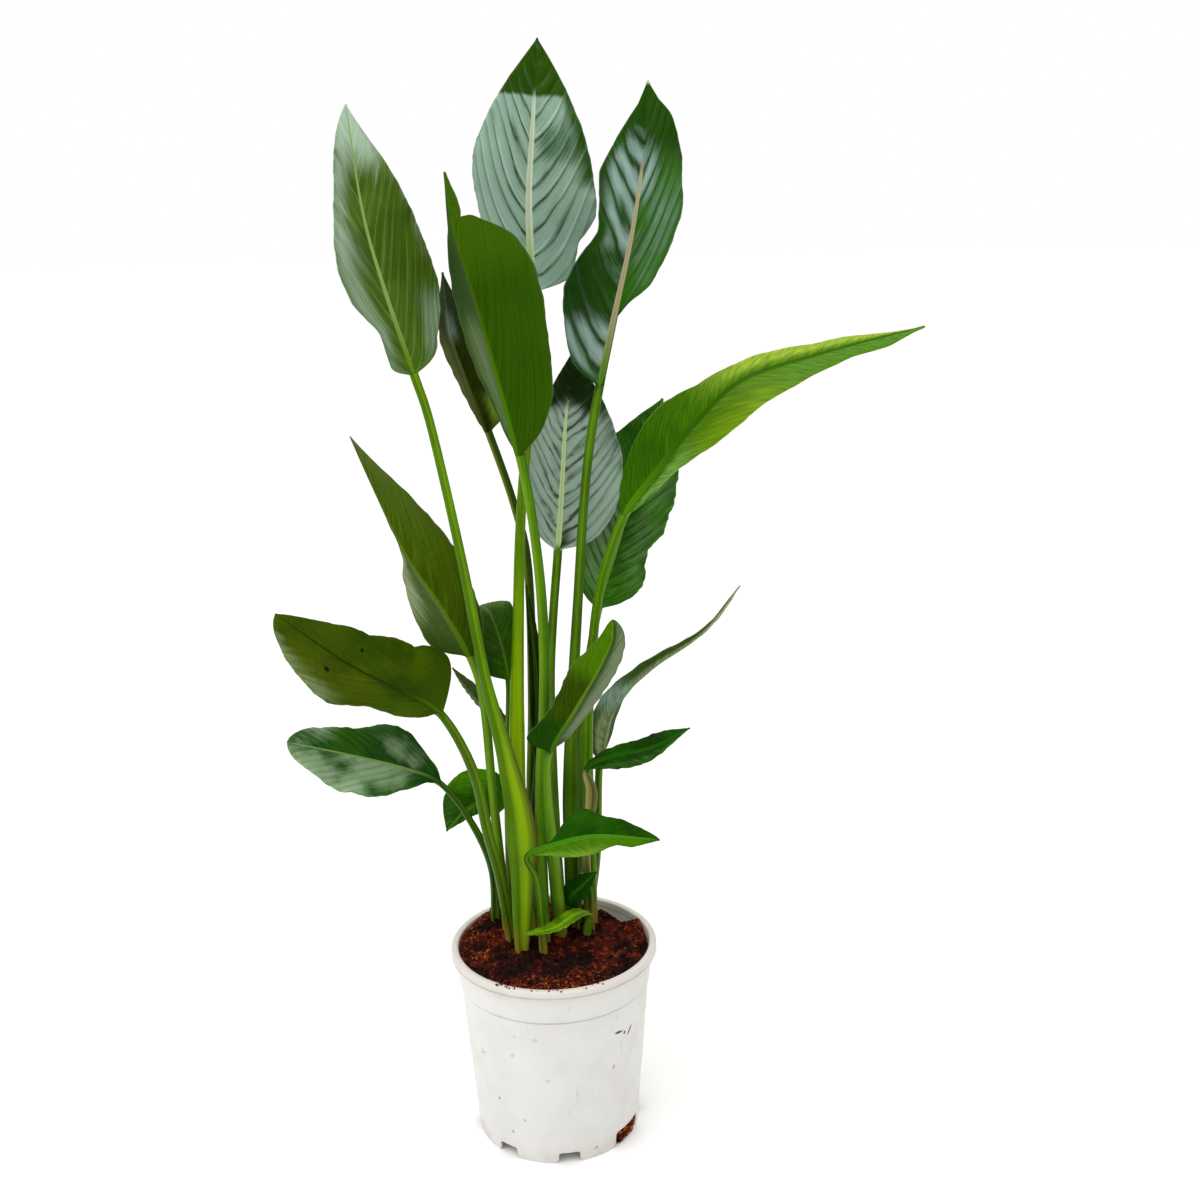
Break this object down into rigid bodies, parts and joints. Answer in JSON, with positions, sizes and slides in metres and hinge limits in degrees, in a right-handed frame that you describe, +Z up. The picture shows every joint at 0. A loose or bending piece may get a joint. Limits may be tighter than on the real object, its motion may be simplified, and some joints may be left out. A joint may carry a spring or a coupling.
{
  "type": "potted bird of paradise",
  "caption": "Potted bird of paradise: paddle-shaped leaves on long channelled stalks rise from coir in a round tapered nursery pot with a rolled rim and notched feet.",
  "frame": {"origin": "centre of the pot's underside, in the plane that the pot stands on", "axes": "+Z up along the pot's axis; -Y towards the front, the side the picture shows; +X to the right as seen from the front"},
  "size_m": [0.5948, 0.2626, 1.0791],
  "materials": {
    "pot_plastic": "off-white moulded plastic, satin, lightly scuffed and dirty",
    "coir": "damp red-brown coir with loose crumbs",
    "leaf_glossy": "dark green upper face with a waxy blue-white sheen, pale midrib and fine parallel veins",
    "leaf_mid": "matt mid green underside, fine parallel veins",
    "leaf_olive": "matt olive green, fine parallel veins",
    "leaf_bright": "bright yellow-green, satin"
  },
  "bodies": {
    "root": {"pot": "pot_plastic", "soil": "coir", "leaf_tall_left": "leaf_glossy", "leaf_top_centre": "leaf_glossy", "leaf_top_right": "leaf_glossy", "leaf_front_centre": "leaf_mid", "leaf_behind_left": "leaf_olive", "leaf_middle_back": "leaf_glossy", "leaf_arching_right": "leaf_bright", "leaf_behind_right": "leaf_glossy", "leaf_narrow_left": "leaf_olive", "leaf_broad_left": "leaf_olive", "leaf_low_left": "leaf_glossy", "leaf_small_left": "leaf_olive", "leaf_folded_front": "leaf_mid", "leaf_thin_right": "leaf_olive", "leaf_small_right": "leaf_glossy", "leaf_low_right": "leaf_bright", "leaf_lowest_front": "leaf_bright", "leaf_lowest_dark": "leaf_glossy", "leaf_dark_arching": "leaf_glossy", "leaf_narrow_back": "leaf_olive", "leaf_young_rolled": "leaf_glossy"}
  },
  "joints": []
}
